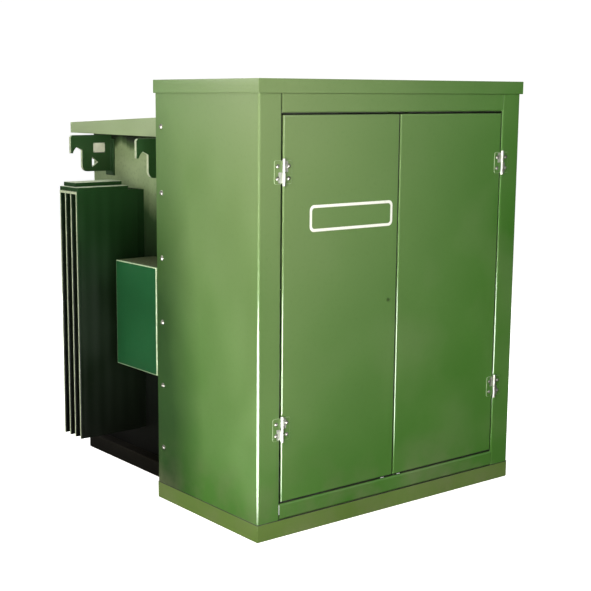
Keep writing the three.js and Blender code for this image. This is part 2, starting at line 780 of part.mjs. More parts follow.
function addHooks() {
  const plate = toSolid(facingFront(extrude(hookOutline(), hookPlate), hookPlate));
  const window = toSolid(facingFront(extrude(webWindow, 3 * hookPlate), 3 * hookPlate));
  const pad = block(
    [0, -hookPadWidth / 2, -hookHeight - padDrop],
    [hookPadThickness, hookPadWidth / 2, -padDrop],
  );
  const hook = cut(join(plate, pad), window);
  const top = coverBottom - hookTopDrop;
  const setbacks = [['front', hookFrontSetback], ['rear', hookRearSetback]];
  for (const [end, setback] of setbacks) {
    place(`hook_left_${end}`, hook, darkPaint, [-tankHalf - seat, tankFront + setback, top], true);
    place(`hook_right_${end}`, hook, darkPaint, [tankHalf + seat, tankFront + setback, top], false);
  }
}

// Radiator: upright plates one behind the other, joined by a collector at the wall and a header on top.
function addRadiators() {
  const reach = collectorWidth + finWidth;
  const finFront = (i) => i * finPitch - finThickness / 2;
  const packRear = finFront(finCount - 1) + finThickness;
  const fins = Array.from({ length: finCount }, (_, i) => block(
    [collectorWidth - 1, finFront(i), 0], [reach, finFront(i) + finThickness, finHeight],
  ));
  const collector = block([seat, finFront(0) + 2, 0], [collectorWidth, packRear - 2, finHeight - 4]);
  const headerStart = collectorWidth + 50;
  const header = block(
    [headerStart, finFront(0), finHeight - 1], [reach - 3, packRear, finHeight + headerHeight],
  );
  const upper = block(
    [headerStart + 4, finFront(1), finHeight], [reach - 22, packRear, finHeight + 2 * headerHeight],
  );
  const radiator = join(collector, ...fins, header, upper);
  for (const [side, mirrored] of sides) {
    const x = mirrored ? tankHalf : -tankHalf;
    place(`radiator_${side}`, radiator, darkPaint, [x, tankFront + finSetback, finBottom], !mirrored);
  }
}

// ---------------------------------------------------------------- box on the tank's left wall
function addSideBox() {
  const front = tankFront + boxFrontGap;
  const rear = front + boxDepth;
  const top = boxBottom + boxHeight;
  const outerX = -halfWidth + boxLidDepth + seat;
  const wholeBox = block([outerX, front, boxBottom], [-tankHalf - seat, rear, top]);
  const inside = block(
    [outerX - 1, front + boxWall, boxBottom + boxWall],
    [-tankHalf - seat - boxWall, rear - boxWall, top - boxWall],
  );
  place('side_box', cut(wholeBox, inside), boxPaint);
  const lid = block([-halfWidth, front, boxBottom], [-halfWidth + boxLidDepth, rear, top]);
  const recess = block(
    [-halfWidth + boxWall, front + boxLidInset, boxBottom + boxLidInset],
    [-halfWidth + boxLidDepth + 1, rear - boxLidInset, top - boxLidInset],
  );
  place('side_box_lid', cut(lid, recess), boxPaint);
}

// ---------------------------------------------------------------- core and windings in the tank
function addCoreAndWindings() {
  const middleY = (tankFront + tankRear) / 2;
  const bottom = tankBottom + tankFloor + seat;
  const half = limbPitch + limbWidth / 2;
  const windowHalf = (limbPitch - limbWidth) / 2;
  const whole = block([-half, -coreDepth / 2, 0], [half, coreDepth / 2, coreHeight]);
  const windows = [-1, 1].map((side) => block(
    [side * limbPitch / 2 - windowHalf, -coreDepth, yokeHeight],
    [side * limbPitch / 2 + windowHalf, coreDepth, coreHeight - yokeHeight],
  ));
  place('core', cut(whole, ...windows), coreSteel, [0, middleY, bottom]);
  const endGap = 20;
  const height = coreHeight - 2 * yokeHeight - 2 * endGap;
  const profile = [
    [windingInner, 0], [windingOuter, 0], [windingOuter, height], [windingInner, height], [windingInner, 0],
  ];
  const ring = new THREE.LatheGeometry(profile.map(([r, h]) => new THREE.Vector2(r, h)), 32);
  ring.rotateX(Math.PI / 2);
  const winding = toSolid(ring);
  [-1, 0, 1].forEach((limb, i) => place(
    `winding_${i + 1}`, winding, windingPaper, [limb * limbPitch, middleY, bottom + yokeHeight + endGap],
  ));
}

addBases();
addSidePanels();
addRails();
addRoof();
addRearPanel();
addDoors();
addHinges();
addLock();
addBushings();
addFuses();
addControls();
addDrainValve();
addBarrier();
addTank();
addCover();
addHooks();
addRadiators();
addSideBox();
addCoreAndWindings();

// The origin is on the ground, under the middle of the whole unit.
unit.position.y = -(frontFace + rearFace) / 2;
const transformer = new THREE.Group();
transformer.add(unit);
transformer.updateMatrixWorld(true);

export default transformer;
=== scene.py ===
"""Looks of a pad-mounted transformer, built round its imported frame. Metres, +Z up, doors towards -Y."""
import json
import math

import bmesh
import bpy
from mathutils import Matrix, Vector


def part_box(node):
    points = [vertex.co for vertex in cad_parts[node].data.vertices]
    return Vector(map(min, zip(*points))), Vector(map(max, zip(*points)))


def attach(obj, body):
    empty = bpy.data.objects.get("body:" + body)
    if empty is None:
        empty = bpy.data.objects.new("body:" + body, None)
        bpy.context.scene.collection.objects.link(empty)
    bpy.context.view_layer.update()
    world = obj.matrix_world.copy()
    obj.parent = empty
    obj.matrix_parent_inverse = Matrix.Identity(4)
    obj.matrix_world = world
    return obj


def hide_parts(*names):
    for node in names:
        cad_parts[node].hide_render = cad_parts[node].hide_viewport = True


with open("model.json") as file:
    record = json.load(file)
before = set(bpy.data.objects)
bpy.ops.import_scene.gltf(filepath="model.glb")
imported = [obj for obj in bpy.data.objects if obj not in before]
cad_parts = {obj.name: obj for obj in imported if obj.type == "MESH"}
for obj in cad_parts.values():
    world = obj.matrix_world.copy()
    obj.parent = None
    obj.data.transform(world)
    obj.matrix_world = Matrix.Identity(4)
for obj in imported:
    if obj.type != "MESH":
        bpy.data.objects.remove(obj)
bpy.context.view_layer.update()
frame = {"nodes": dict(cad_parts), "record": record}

# ------------------------------------------------------------------ camera
CAMERA_PLACE = Vector((-3.3528, -4.2339, 1.6552))
CAMERA_YAW = math.radians(37.141)  # from +Y towards +X
CAMERA_PITCH = math.radians(-9.288)
CAMERA_ROLL = math.radians(0.157)
CAMERA_LENS = 74.1
CAMERA_SHIFT = 0.08


def make_camera():
    forward = Vector((
        math.sin(CAMERA_YAW) * math.cos(CAMERA_PITCH),
        math.cos(CAMERA_YAW) * math.cos(CAMERA_PITCH),
        math.sin(CAMERA_PITCH),
    ))
    level = forward.cross(Vector((0, 0, 1))).normalized()
    upright = level.cross(forward)
    right = math.cos(CAMERA_ROLL) * level + math.sin(CAMERA_ROLL) * upright
    up = right.cross(forward)
    data = bpy.data.cameras.new("view")
    data.lens = CAMERA_LENS
    data.shift_x = CAMERA_SHIFT
    camera = bpy.data.objects.new("view", data)
    turn = Matrix((right, up, -forward)).transposed().to_4x4()
    camera.matrix_world = Matrix.Translation(CAMERA_PLACE) @ turn
    bpy.context.scene.collection.objects.link(camera)
    bpy.context.scene.camera = camera


# ------------------------------------------------------------------ materials
class Shader:
    """A node material with one Principled surface and short ways to add procedural detail."""

    def __init__(self, name, roughness=0.4, metallic=0.0, coat=0.0, coat_roughness=0.1):
        self.material = bpy.data.materials.new(name)
        self.material.use_nodes = True
        self.tree = self.material.node_tree
        self.surface = self.tree.nodes["Principled BSDF"]
        self.surface.inputs["Roughness"].default_value = roughness
        self.surface.inputs["Metallic"].default_value = metallic
        self.surface.inputs["Coat Weight"].default_value = coat
        self.surface.inputs["Coat Roughness"].default_value = coat_roughness
        self.place = self.tree.nodes.new("ShaderNodeTexCoord").outputs["Object"]
        self.height = None

    def link(self, source, target):
        self.tree.links.new(source, target)

    def noise(self, scale, detail=3.0, stretch=(1, 1, 1), rough=0.5):
        mapping = self.tree.nodes.new("ShaderNodeMapping")
        mapping.inputs["Scale"].default_value = stretch
        self.link(self.place, mapping.inputs["Vector"])
        node = self.tree.nodes.new("ShaderNodeTexNoise")
        node.inputs["Scale"].default_value = scale
        node.inputs["Detail"].default_value = detail
        node.inputs["Roughness"].default_value = rough
        self.link(mapping.outputs["Vector"], node.inputs["Vector"])
        return node.outputs["Fac"]

    def spread(self, value, low, high, to_low=0.0, to_high=1.0):
        node = self.tree.nodes.new("ShaderNodeMapRange")
        node.inputs["From Min"].default_value = low
        node.inputs["From Max"].default_value = high
        node.inputs["To Min"].default_value = to_low
        node.inputs["To Max"].default_value = to_high
        self.link(value, node.inputs["Value"])
        return node.outputs["Result"]

    def product(self, first, second):
        node = self.tree.nodes.new("ShaderNodeMath")
        node.operation = "MULTIPLY"
        self.link(first, node.inputs[0])
        self.link(second, node.inputs[1])
        return node.outputs[0]

    def blend(self, amount, first, second):
        """Mixes two colours; each is a tuple or another node's output."""
        node = self.tree.nodes.new("ShaderNodeMix")
        node.data_type = "RGBA"
        self.link(amount, node.inputs["Factor"])
        for socket, value in ((node.inputs[6], first), (node.inputs[7], second)):
            if isinstance(value, tuple):
                socket.default_value = (*value, 1.0)
            else:
                self.link(value, socket)
        return node.outputs[2]

    def reach(self, point, near, far, stretch=(1, 1, 1)):
        """1 near a point of the object, falling to 0 at the far distance."""
        scaled = self.tree.nodes.new("ShaderNodeVectorMath")
        scaled.operation = "MULTIPLY"
        scaled.inputs[1].default_value = stretch
        self.link(self.place, scaled.inputs[0])
        node = self.tree.nodes.new("ShaderNodeVectorMath")
        node.operation = "DISTANCE"
        node.inputs[1].default_value = tuple(p * s for p, s in zip(point, stretch))
        self.link(scaled.outputs[0], node.inputs[0])
        return self.spread(node.outputs["Value"], near, far, 1.0, 0.0)

    def ramp(self, value, stops):
        node = self.tree.nodes.new("ShaderNodeValToRGB")
        while len(node.color_ramp.elements) < len(stops):
            node.color_ramp.elements.new(0.5)
        for element, (place, tone) in zip(node.color_ramp.elements, stops):
            element.position = place
            element.color = (*tone, 1.0)
        self.link(value, node.inputs[0])
        return node.outputs[0]

    def axis(self, letter):
        node = self.tree.nodes.new("ShaderNodeSeparateXYZ")
        self.link(self.place, node.inputs[0])
        return node.outputs[letter]

    def colour(self, value):
        self.link(value, self.surface.inputs["Base Color"])

    def roughness(self, value):
        self.link(value, self.surface.inputs["Roughness"])

    def bump(self, value, distance, strength=1.0):
        node = self.tree.nodes.new("ShaderNodeBump")
        node.inputs["Distance"].default_value = distance
        node.inputs["Strength"].default_value = strength
        self.link(value, node.inputs["Height"])
        if self.height is not None:
            self.link(self.height, node.inputs["Normal"])
        self.height = node.outputs["Normal"]
        self.link(self.height, self.surface.inputs["Normal"])


# Centre of the painted pool of light on the cabinet's upper front-left corner, and centre of the painted
# shade low on its sides.
PAINTED_LIGHT_CORNER = (-0.70, -0.80, 1.72)
PAINTED_SHADE_CENTRE = (0.0, -0.09, 0.20)
FLAT_COAT = 0.2
BEND_COAT = 0.9


def enamel(name, deep, pale, roughness=0.34, dust=0.5, waviness=0.0012, haze_and_lit_tone=None, coat=FLAT_COAT):
    """Sprayed enamel on sheet steel: orange peel, slow colour drift, dull dusty patches near the ground;
    given a pale tone, also pale hazy patches, a painted pool of light round the upper front-left corner and
    painted shade low on the sides.
    """
    shade = Shader(name, coat=coat, coat_roughness=0.08)
    shade.surface.inputs["Specular IOR Level"].default_value = 0.25
    drift = shade.spread(shade.noise(1.3, 4.0), 0.35, 0.65)
    mottled = shade.blend(drift, deep, pale)
    if haze_and_lit_tone:
        # Painted light: the colour pales towards the upper front-left corner, where the lamps fall.
        painted_light = shade.reach(PAINTED_LIGHT_CORNER, 0.15, 1.45, (1.0, 1.25, 0.80))
        mottled = shade.blend(painted_light, mottled, haze_and_lit_tone)
        haze = shade.spread(shade.noise(2.4, 3.0), 0.46, 0.72, 0.0, 0.32)
        mottled = shade.blend(haze, mottled, tuple(0.9 * c for c in haze_and_lit_tone))
        # Painted shade: the colour darkens low on the side panels, in cloudy patches.
        painted_shade = shade.reach(PAINTED_SHADE_CENTRE, 0.42, 1.05, (0.0, 3.0, 0.7))
        cloudy = shade.spread(shade.noise(3.0, 4.0), 0.2, 0.7, 0.65, 1.0)
        mottled = shade.blend(shade.product(painted_shade, cloudy), mottled, (0.014, 0.045, 0.010))
    speckle = shade.spread(shade.noise(60.0, 5.0), 0.54, 0.80, 0.0, 0.09)
    speckled = shade.blend(speckle, mottled, tuple(0.62 * c for c in deep))
    low = shade.spread(shade.axis("Z"), 0.0, 0.30, 1.0, 0.0)
    patches = shade.spread(shade.noise(7.0, 6.0), 0.42, 0.72, 0.0, dust)
    dusty = shade.blend(shade.product(low, patches), speckled, (0.20, 0.19, 0.13))
    shade.colour(dusty)
    shade.roughness(shade.spread(shade.noise(5.0, 6.0), 0.3, 0.7, roughness - 0.06, roughness + 0.10))
    shade.bump(shade.noise(2.2, 1.0), waviness)
    shade.bump(shade.noise(260.0, 2.0), 0.00005)
    return shade.material


def plated(name, tone, roughness=0.3, grain=(1, 1, 14)):
    """Zinc plate or bare steel with a drawn grain and dull spots."""
    shade = Shader(name, metallic=1.0)
    spots = shade.spread(shade.noise(45.0, 5.0), 0.45, 0.7)
    shade.colour(shade.blend(spots, tone, tuple(0.62 * c for c in tone)))
    streaks = shade.noise(120.0, 4.0, grain)
    shade.roughness(shade.spread(streaks, 0.3, 0.7, roughness - 0.08, roughness + 0.16))
    shade.bump(shade.noise(420.0, 3.0, grain), 0.00004)
    return shade.material


def highlight_paint(name, tone):
    """Painted highlight: a pale tone for edges and faces that catch the light, with darker random chips."""
    shade = Shader(name, roughness=0.4)
    chips = shade.spread(shade.noise(55.0, 6.0), 0.50, 0.72, 0.0, 0.7)
    shade.colour(shade.blend(chips, tone, tuple(0.45 * c for c in tone)))
    shade.roughness(shade.spread(shade.noise(80.0, 4.0), 0.3, 0.7, 0.3, 0.5))
    shade.bump(shade.noise(160.0, 3.0), 0.0001)
    return shade.material


def moulded(name, tone, roughness, coat=0.0, scale=90.0):
    """Cast resin, rubber or plastic with faint mottling and a fine surface texture."""
    shade = Shader(name, coat=coat)
    clouds = shade.spread(shade.noise(14.0, 5.0), 0.35, 0.7)
    shade.colour(shade.blend(clouds, tone, tuple(0.6 * c for c in tone)))
    shade.roughness(shade.spread(shade.noise(scale, 4.0), 0.3, 0.7, roughness - 0.07, roughness + 0.09))
    shade.bump(shade.noise(scale * 5, 2.0), 0.00006)
    return shade.material


def laminated(name, tone):
    """Core steel: fine parallel sheet edges."""
    shade = Shader(name, metallic=0.8)
    layers = shade.noise(220.0, 1.0, (0.02, 1, 0.02))
    shade.colour(shade.blend(shade.spread(layers, 0.4, 0.6), tone, tuple(0.45 * c for c in tone)))
    shade.roughness(shade.spread(shade.noise(30.0), 0.3, 0.7, 0.4, 0.6))
    shade.bump(layers, 0.0004)
    return shade.material


def wrapped(name, tone):
    """Paper-wrapped winding: horizontal turns with fibres."""
    shade = Shader(name)
    turns = shade.noise(160.0, 1.0, (0.02, 0.02, 1))
    fibre = shade.noise(240.0, 5.0, (1, 1, 6))
    shade.colour(shade.blend(shade.spread(fibre, 0.4, 0.7), tone, tuple(0.6 * c for c in tone)))
    shade.roughness(shade.spread(fibre, 0.3, 0.7, 0.7, 0.9))
    shade.bump(turns, 0.0012)
    return shade.material


def stencil(name, tone):
    """Brushed-on marking paint, thin at its edges."""
    shade = Shader(name, roughness=0.5)
    thin = shade.spread(shade.noise(90.0, 6.0), 0.56, 0.80, 0.0, 0.5)
    shade.colour(shade.blend(thin, tone, tuple(0.7 * c for c in tone)))
    shade.roughness(shade.spread(shade.noise(150.0, 3.0), 0.3, 0.7, 0.42, 0.62))
    shade.bump(shade.noise(300.0, 2.0), 0.00006)
    return shade.material


# The painted shade covers only faces left of this line, the tank's left wall; past it the tone is even.
SHADE_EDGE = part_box("tank_shell")[0].x + 0.012
SHADE_FADE = 0.05


def graded_shade(name, stops, bottom, top, roughness=0.4, unshaded_tone=(0.012, 0.036, 0.010)):
    """Enamel with painted shade: a ramp darker downwards by height, with a wobbly edge and dark specks,
    giving way to one even tone past the left wall.
    """
    shade = Shader(name)
    shade.surface.inputs["Specular IOR Level"].default_value = 0.10
    height = shade.spread(shade.axis("Z"), bottom, top)
    edge_wobble = shade.spread(shade.noise(9.0, 5.0, (1, 1, 0.12)), 0.3, 0.7, -0.02, 0.02)
    total = shade.tree.nodes.new("ShaderNodeMath")
    shade.link(height, total.inputs[0])
    shade.link(edge_wobble, total.inputs[1])
    graded = shade.ramp(total.outputs[0], stops)
    speckle = shade.spread(shade.noise(70.0, 5.0), 0.54, 0.80, 0.0, 0.35)
    specked_shade = shade.blend(speckle, graded, (0.010, 0.012, 0.008))
    past_wall = shade.spread(shade.axis("X"), SHADE_EDGE, SHADE_EDGE + SHADE_FADE)
    shade.colour(shade.blend(past_wall, specked_shade, unshaded_tone))
    shade.roughness(shade.spread(shade.noise(6.0, 6.0), 0.3, 0.7, roughness - 0.06, roughness + 0.12))
    shade.bump(shade.noise(2.2, 1.0), 0.0012)
    shade.bump(shade.noise(260.0, 2.0), 0.00005)
    return shade.material


CABINET_TONES = (0.044, 0.150, 0.018), (0.062, 0.178, 0.028)
# The pale tone of the random haze and of the painted pool of light.
HAZE_AND_LIT_TONE = (0.165, 0.245, 0.105)
GREEN = enamel("green_enamel", *CABINET_TONES, haze_and_lit_tone=HAZE_AND_LIT_TONE)
GREEN_BEND = enamel("green_enamel_on_bends", *CABINET_TONES, haze_and_lit_tone=HAZE_AND_LIT_TONE, coat=BEND_COAT)
PLINTH_TONES = (0.095, 0.165, 0.034), (0.130, 0.205, 0.056)
PLINTH_GREEN = enamel("plinth_enamel", *PLINTH_TONES, 0.42, 0.25)
PLINTH_BEND = enamel("plinth_enamel_on_bends", *PLINTH_TONES, 0.42, 0.25, coat=BEND_COAT)
DARK_GREEN = enamel("dark_green_enamel", (0.008, 0.030, 0.008), (0.013, 0.042, 0.011), 0.40)
COVER_GREEN = enamel("cover_enamel", (0.230, 0.310, 0.165), (0.270, 0.345, 0.205), 0.40, 0.2)
TEAL = enamel("teal_green_enamel", (0.003, 0.046, 0.012), (0.005, 0.066, 0.019), 0.38)
INNER = enamel("cabinet_inside_enamel", (0.055, 0.130, 0.032), (0.075, 0.160, 0.045), 0.42, 0.3)
# Near-black painted shade for faces that only show through the gaps round the doors.
GAP_SHADE = enamel("gap_painted_shade_enamel", (0.006, 0.012, 0.005), (0.012, 0.022, 0.009), 0.55, 0.2)
BLACK_COAT = graded_shade("black_coat", (
    (0.0, (0.004, 0.0036, 0.003)), (0.6, (0.005, 0.0045, 0.0035)), (1.0, (0.009, 0.008, 0.006)),
), 0.0, 0.08, 0.5)
# On the tank's left wall: near black low down as painted shade, a pale painted band of light near the top,
# and just under the cover a dark band that is the cover's painted shadow.
TANK_GREEN = graded_shade("tank_enamel", (
    (0.0, (0.0025, 0.0025, 0.0025)), (0.55, (0.004, 0.007, 0.004)), (0.74, (0.014, 0.032, 0.011)),
    (0.83, (0.170, 0.230, 0.125)), (0.90, (0.240, 0.310, 0.180)), (0.950, (0.210, 0.280, 0.150)),
    (0.965, (0.050, 0.085, 0.034)), (0.985, (0.006, 0.010, 0.005)),
), 0.07, 1.50, unshaded_tone=(0.034, 0.098, 0.022))
# The fins darken downwards as painted shade; the rear fins, seen only between the plates, get a near-black
# painted-shade copy.
FIN_GREEN = graded_shade("fin_enamel", (
    (0.0, (0.0020, 0.0028, 0.0018)), (0.6, (0.0028, 0.0075, 0.0026)), (0.85, (0.004, 0.017, 0.004)),
    (1.0, (0.008, 0.030, 0.008)),
), 0.15, 1.29, unshaded_tone=(0.030, 0.088, 0.020))
FIN_PAINTED_SHADE = graded_shade("fin_enamel_painted_shade", (
    (0.0, (0.0015, 0.0018, 0.0014)), (0.7, (0.0020, 0.0036, 0.0018)), (1.0, (0.003, 0.009, 0.003)),
), 0.15, 1.29, unshaded_tone=(0.024, 0.072, 0.016))
ZINC = plated("zinc_plate", (0.36, 0.37, 0.33), 0.46)
CHROME = plated("bright_screw_plate", (0.24, 0.235, 0.21), 0.32, (1, 1, 1))
BRASS = plated("turned_brass", (0.62, 0.45, 0.18), 0.3)
BROWN_EPOXY = moulded("brown_epoxy", (0.11, 0.028, 0.014), 0.22, 0.4)
GREY_EPOXY = moulded("grey_epoxy", (0.050, 0.056, 0.064), 0.40)
BLACK_PLASTIC = moulded("black_plastic", (0.014, 0.014, 0.016), 0.42)
RUBBER = moulded("black_rubber", (0.012, 0.012, 0.012), 0.72, 0.0, 140.0)
DIAL = moulded("dial_white", (0.75, 0.73, 0.66), 0.35, 0.2)
LABEL = moulded("blank_label", (0.62, 0.63, 0.56), 0.38)
CORE = laminated("core_laminations", (0.30, 0.31, 0.33))
WINDING = wrapped("paper_wrap", (0.44, 0.29, 0.14))
MARK = stencil("marking_paint", (0.86, 0.88, 0.86))
# Pale painted highlights for lit plate edges, lit rims and the side box's lit top.
EDGE_HIGHLIGHT = highlight_paint("painted_highlight_plate_edge", (0.40, 0.46, 0.33))
RIM_HIGHLIGHT = highlight_paint("painted_highlight_rim", (0.36, 0.46, 0.30))
TOP_HIGHLIGHT = highlight_paint("painted_highlight_box_top", (0.085, 0.100, 0.050))


def glass():
    shade = Shader("gauge_glass")
    shade.surface.inputs["Base Color"].default_value = (0.95, 0.97, 0.96, 1.0)
    shade.surface.inputs["Roughness"].default_value = 0.04
    shade.surface.inputs["Transmission Weight"].default_value = 1.0
    shade.surface.inputs["IOR"].default_value = 1.1
    shade.bump(shade.noise(40.0, 1.0), 0.00002)
    return shade.material


GLASS = glass()

# The finish that rounded folds get in place of the flat faces' one.
BENDS = {GREEN.name: GREEN_BEND, PLINTH_GREEN.name: PLINTH_BEND}


# ------------------------------------------------------------------ mesh helpers
class Shape:
    """Collects solids in one mesh, then becomes one named piece that rides on a body."""

    def __init__(self):
        self.bm = bmesh.new()

    def block(self, low, high):
        made = bmesh.ops.create_cube(self.bm, size=1.0)["verts"]
        low, high = Vector(low), Vector(high)
        for vert in made:
            vert.co = Vector(low[i] + (vert.co[i] + 0.5) * (high[i] - low[i]) for i in range(3))
        return self

    def prism(self, points, origin, across, upward, depth):
        """A flat outline given along two directions, pushed through by the vector `depth`."""
        origin, across, upward, depth = (Vector(v) for v in (origin, across, upward, depth))
        near = [self.bm.verts.new(origin + across * u + upward * v) for u, v in points]
        far = [self.bm.verts.new(vert.co + depth) for vert in near]
        self.bm.faces.new(near)
        self.bm.faces.new(far[::-1])
        for i in range(len(near)):
            j = (i + 1) % len(near)
            self.bm.faces.new((near[j], near[i], far[i], far[j]))
        return self

    def turned(self, centre, profile, axis=(0, -1, 0), segments=48):
        """A turned solid: profile points are (radius, distance along the axis), from axis to axis."""
        centre, axis = Vector(centre), Vector(axis).normalized()
        spoke = axis.orthogonal().normalized()
        other = axis.cross(spoke)
        rings = []
        for radius, along in profile:
            if radius < 1e-7:
                rings.append([self.bm.verts.new(centre + axis * along)])
                continue
            turn = [2 * math.pi * k / segments for k in range(segments)]
            middle = centre + axis * along
            rings.append([
                self.bm.verts.new(middle + (spoke * math.cos(a) + other * math.sin(a)) * radius) for a in turn
            ])
        closed = len(rings[0]) > 1
        pairs = list(zip(rings, rings[1:])) + ([(rings[-1], rings[0])] if closed else [])
        for first, second in pairs:
            for k in range(segments):
                corners = [first[k % len(first)], first[(k + 1) % len(first)],
                           second[(k + 1) % len(second)], second[k % len(second)]]
                unique = list(dict.fromkeys(corners))
                if len(unique) > 2:
                    self.bm.faces.new(unique)
        return self

    def node(self, name):
        """Takes a CAD node's surface, with its flat faces made whole again."""
        self.bm.from_mesh(frame["nodes"][name].data)
        bmesh.ops.remove_doubles(self.bm, verts=self.bm.verts, dist=2e-6)
        bmesh.ops.dissolve_limit(
            self.bm, angle_limit=math.radians(1.0), verts=self.bm.verts, edges=self.bm.edges,
        )
        return self

    def bevel(self, width, segments=3):
        """Breaks every edge where the surface turns by more than 32 degrees."""
        bmesh.ops.recalc_face_normals(self.bm, faces=self.bm.faces)
        edges = [
            e for e in self.bm.edges
            if len(e.link_faces) == 2 and e.calc_face_angle(0) > math.radians(32)
        ]
        bmesh.ops.bevel(
            self.bm, geom=edges, offset=width, segments=segments, profile=0.5,
            affect="EDGES", clamp_overlap=True,
        )
        return self

    def piece(self, name, material, body, slot=None, replaces=(), smooth=40, second=None, where=None):
        """Ends the mesh; faces for which `where` holds get the second material."""
        bmesh.ops.recalc_face_normals(self.bm, faces=self.bm.faces)
        mesh = bpy.data.meshes.new(name)
        self.bm.to_mesh(mesh)
        self.bm.free()
        mesh.materials.clear()
        mesh.materials.append(material)
        if second:
            mesh.materials.append(second)
        for polygon in mesh.polygons:
            polygon.use_smooth = True
            polygon.material_index = int(bool(second and where(polygon)))
        if material.name in BENDS:
            mesh.materials.append(BENDS[material.name])
            for polygon in mesh.polygons:
                if polygon.material_index == 0 and on_a_rim(polygon):
                    polygon.material_index = len(mesh.materials) - 1
        mesh.set_sharp_from_angle(angle=math.radians(smooth))
        made = bpy.data.objects.new(name, mesh)
        bpy.context.scene.collection.objects.link(made)
        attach(made, body)
        for node in replaces:
            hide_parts(node)
        return made


def weighted(piece):
    """Flat faces keep flat shading next to their rounded edges."""
    piece.modifiers.new("flat faces", "WEIGHTED_NORMAL").keep_sharp = True
    return piece


def body_of_node(name):
    return next(body for body, nodes in frame["record"]["behaviour"]["bodies"].items() if name in nodes)


def refined(node, material, slot, width=0.0011, segments=3, second=None, where=None):
    """The CAD node's own shape with broken edges and a real finish."""
    shape = Shape().node(node).bevel(width, segments)
    body = body_of_node(node)
    return weighted(shape.piece(f"{node}_skin", material, body, slot, (node,), second=second, where=where))


def on_a_rim(polygon):
    """Broken edges, which face none of the three main directions."""
    return max(abs(value) for value in polygon.normal) < 0.97


def middle_of(node):
    low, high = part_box(node)
    return (low + high) / 2


def rounded_outline(half_u, half_v, radius, steps=5):
    """A rectangle about the origin with round corners."""
    points = []
    for quarter, (su, sv) in enumerate(((1, 1), (-1, 1), (-1, -1), (1, -1))):
        for k in range(steps + 1):
            angle = math.pi / 2 * (quarter + k / steps)
            points.append((
                su * (half_u - radius) + radius * math.cos(angle),
                sv * (half_v - radius) + radius * math.sin(angle),
            ))
    return points


# (radius, height) of a screw's head, for a radius of 1
DOME = [
    (0.0, 0.0), (1.0, 0.0), (1.0, 0.10), (0.94, 0.24), (0.80, 0.42), (0.58, 0.56), (0.30, 0.64), (0.0, 0.66),
]


def dome_screw(shape, place, outward, radius, recess=True):
    """A round-headed screw on its washer, seated just under the surface."""
    outward = Vector(outward)
    seat = Vector(place) - outward * 0.0004
    washer = radius * 1.32
    flat_ring = [(0, 0), (washer, 0), (washer, 0.0010), (washer * 0.95, 0.0014), (0, 0.0014)]
    shape.turned(seat, flat_ring, outward, 28)
    head = [(r * radius, 0.0013 + h * radius) for r, h in DOME]
    if recess:
        head[-1] = (0.0, head[-1][1] - 0.18 * radius)
        head[-2] = (0.22 * radius, head[-2][1])
    shape.turned(seat, head, outward, 28)
    return shape


# ------------------------------------------------------------------ cabinet
SIDES = (("left", -1), ("right", 1))
PLINTH_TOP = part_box("base_plinth")[1].z
FRONT_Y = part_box("door_left")[0].y
REAR_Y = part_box("base_plinth")[1].y
HALF_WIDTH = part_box("side_panel_right")[1].x
OPENING_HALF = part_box("top_rail")[1].x
BEND_DEPTH = 0.0065
JAMB_DEPTH = 0.09


def in_door_gap(polygon):
    """Faces that only show through the gaps round the doors; they get the near-black painted shade."""
    place = polygon.center
    inside = abs(place.x) < OPENING_HALF + 0.004 and 0.12 < place.z < 1.62
    return inside and FRONT_Y + BEND_DEPTH < place.y < FRONT_Y + JAMB_DEPTH


def make_cabinet():
    refined("roof_cap", GREEN, "green_paint", 0.0016)
    for node in ("top_rail", "bottom_rail"):
        # Faces that show through the door gaps get the near-black painted shade.
        refined(node, GREEN, "green_paint", 0.0016, 3, GAP_SHADE, in_door_gap)
    for node in ("side_panel_left", "side_panel_right"):
        refined(node, GREEN, "green_paint", 0.0011, 3, GAP_SHADE, in_door_gap)
    refined("rear_panel", INNER, "green_paint")
    refined("base_plinth", PLINTH_GREEN, "green_paint", 0.0022)
    refined("compartment_barrier", INNER, "dark_green_paint", 0.0008)


def make_plinth_seal():
    """A thin black bead of sealant where the cabinet stands on its plinth; its black also stands in as
    painted shade for the joint's shadow line.
    """
    low, high = PLINTH_TOP - 0.0010, PLINTH_TOP + 0.0020
    proud, deep = 0.0004, 0.0020
    front = FRONT_Y - proud
    side = HALF_WIDTH + proud
    shape = Shape().block((-side, front, low), (side, FRONT_Y + deep, high))
    for sign in (-1, 1):
        xs = sorted((sign * side, sign * (HALF_WIDTH - deep)))
        shape.block((xs[0], front + deep, low), (xs[1], REAR_Y - 0.002, high))
    shape.bevel(0.0004, 2).piece("plinth_seal", RUBBER, "housing", "rubber")


def make_side_screws():
    """One row of dome screws along the rear edge of each side panel."""
    setback = 0.044
    radius = 0.0085
    lowest, pitch, count = 0.155, 0.2628, 6
    heights = [lowest + pitch * i for i in range(count)]
    for side, sign in SIDES:
        shape = Shape()
        for height in heights:
            place = (sign * HALF_WIDTH, REAR_Y - setback, PLINTH_TOP + height)
            dome_screw(shape, place, (sign, 0, 0), radius)
        shape.piece(f"side_screws_{side}", CHROME, "housing", "zinc_steel")


# ------------------------------------------------------------------ doors
DOOR_SHEET = 0.003
DOOR_ROLL = 0.0062
ROD_NODES = {"left": "lock_rod_upper", "right": "bolt_upper"}
ROD_LOW, ROD_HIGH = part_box("lock_rod_upper")
ROD_CLEARANCE = 0.002


